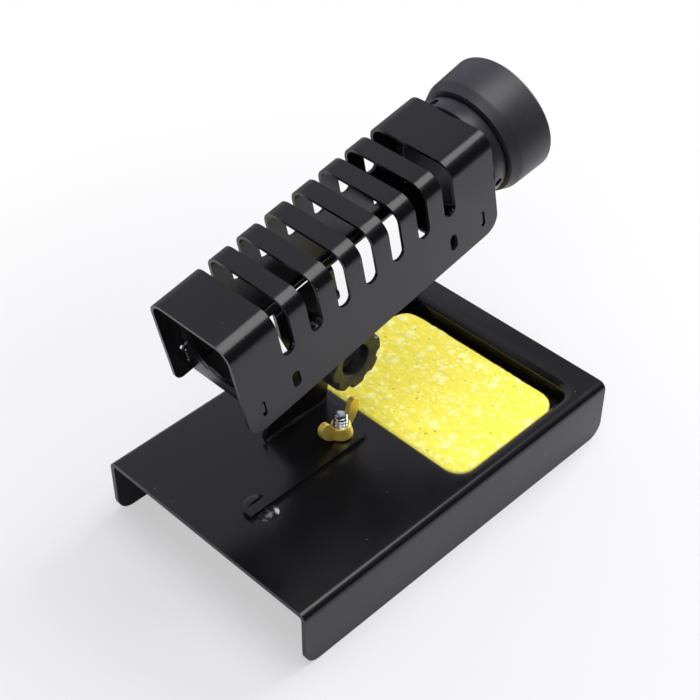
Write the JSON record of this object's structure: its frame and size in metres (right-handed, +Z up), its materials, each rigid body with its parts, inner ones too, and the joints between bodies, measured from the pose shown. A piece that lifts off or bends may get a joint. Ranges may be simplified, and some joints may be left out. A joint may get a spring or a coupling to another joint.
{
  "type": "soldering iron station",
  "caption": "Bench stand for a soldering iron: slotted tilting holder with plastic funnel on a folded sheet-steel base, with a sponge in a drawn tray and a wing nut.",
  "frame": {"origin": "on the bench, under the middle of the base", "axes": "+Z up, +X along the base towards the sponge and the funnel, +Y towards the tilt bolt's hex head"},
  "size_m": [0.15, 0.096, 0.1391],
  "materials": {
    "black_paint": "semi-matte black powder coat on sheet steel",
    "zinc_steel": "bright zinc-plated steel",
    "yellow_brass": "dull yellow brass",
    "black_plastic": "moulded black thermoset, fine matte",
    "sponge": "open-cell yellow cellulose sponge"
  },
  "bodies": {
    "stand": {"base_plate": "black_paint", "support_bracket": "black_paint", "clamp_screw": "zinc_steel", "clamp_washer": "zinc_steel", "pivot_bolt": "zinc_steel", "bolt_washer": "zinc_steel", "knob_washer": "zinc_steel", "knob_spring_washer": "zinc_steel"},
    "holder": {"holder_cage": "black_paint", "front_ring": "black_paint", "rear_ring": "black_paint", "pivot_lug": "black_paint", "funnel_neck": "black_plastic", "funnel_bell": "black_plastic"},
    "knob": {"tilt_knob": "black_plastic", "knob_insert": "yellow_brass"},
    "nut": {"wing_nut": "yellow_brass"},
    "sponge": {"cleaning_sponge": "sponge"}
  },
  "joints": [
    {"name": "holder_tilt", "type": "hinge", "parent": "stand", "child": "holder", "pos_m": [-0.006, 0.0192, 0.0577], "axis": [0, -1, 0], "range_deg": [-11, 30]},
    {"name": "knob_turn", "type": "hinge", "parent": "stand", "child": "knob", "pos_m": [-0.006, 0.003, 0.0577], "axis": [0, 1, 0], "range_deg": [0, 360]},
    {"name": "wing_nut_turn", "type": "hinge", "parent": "stand", "child": "nut", "pos_m": [-0.0115, 0.0004, 0.03], "axis": [0, 0, 1], "range_deg": [0, 360]},
    {"name": "sponge_lift", "type": "slide", "parent": "stand", "child": "sponge", "axis": [0, 0, 1], "range_m": [0, 0.015]}
  ]
}
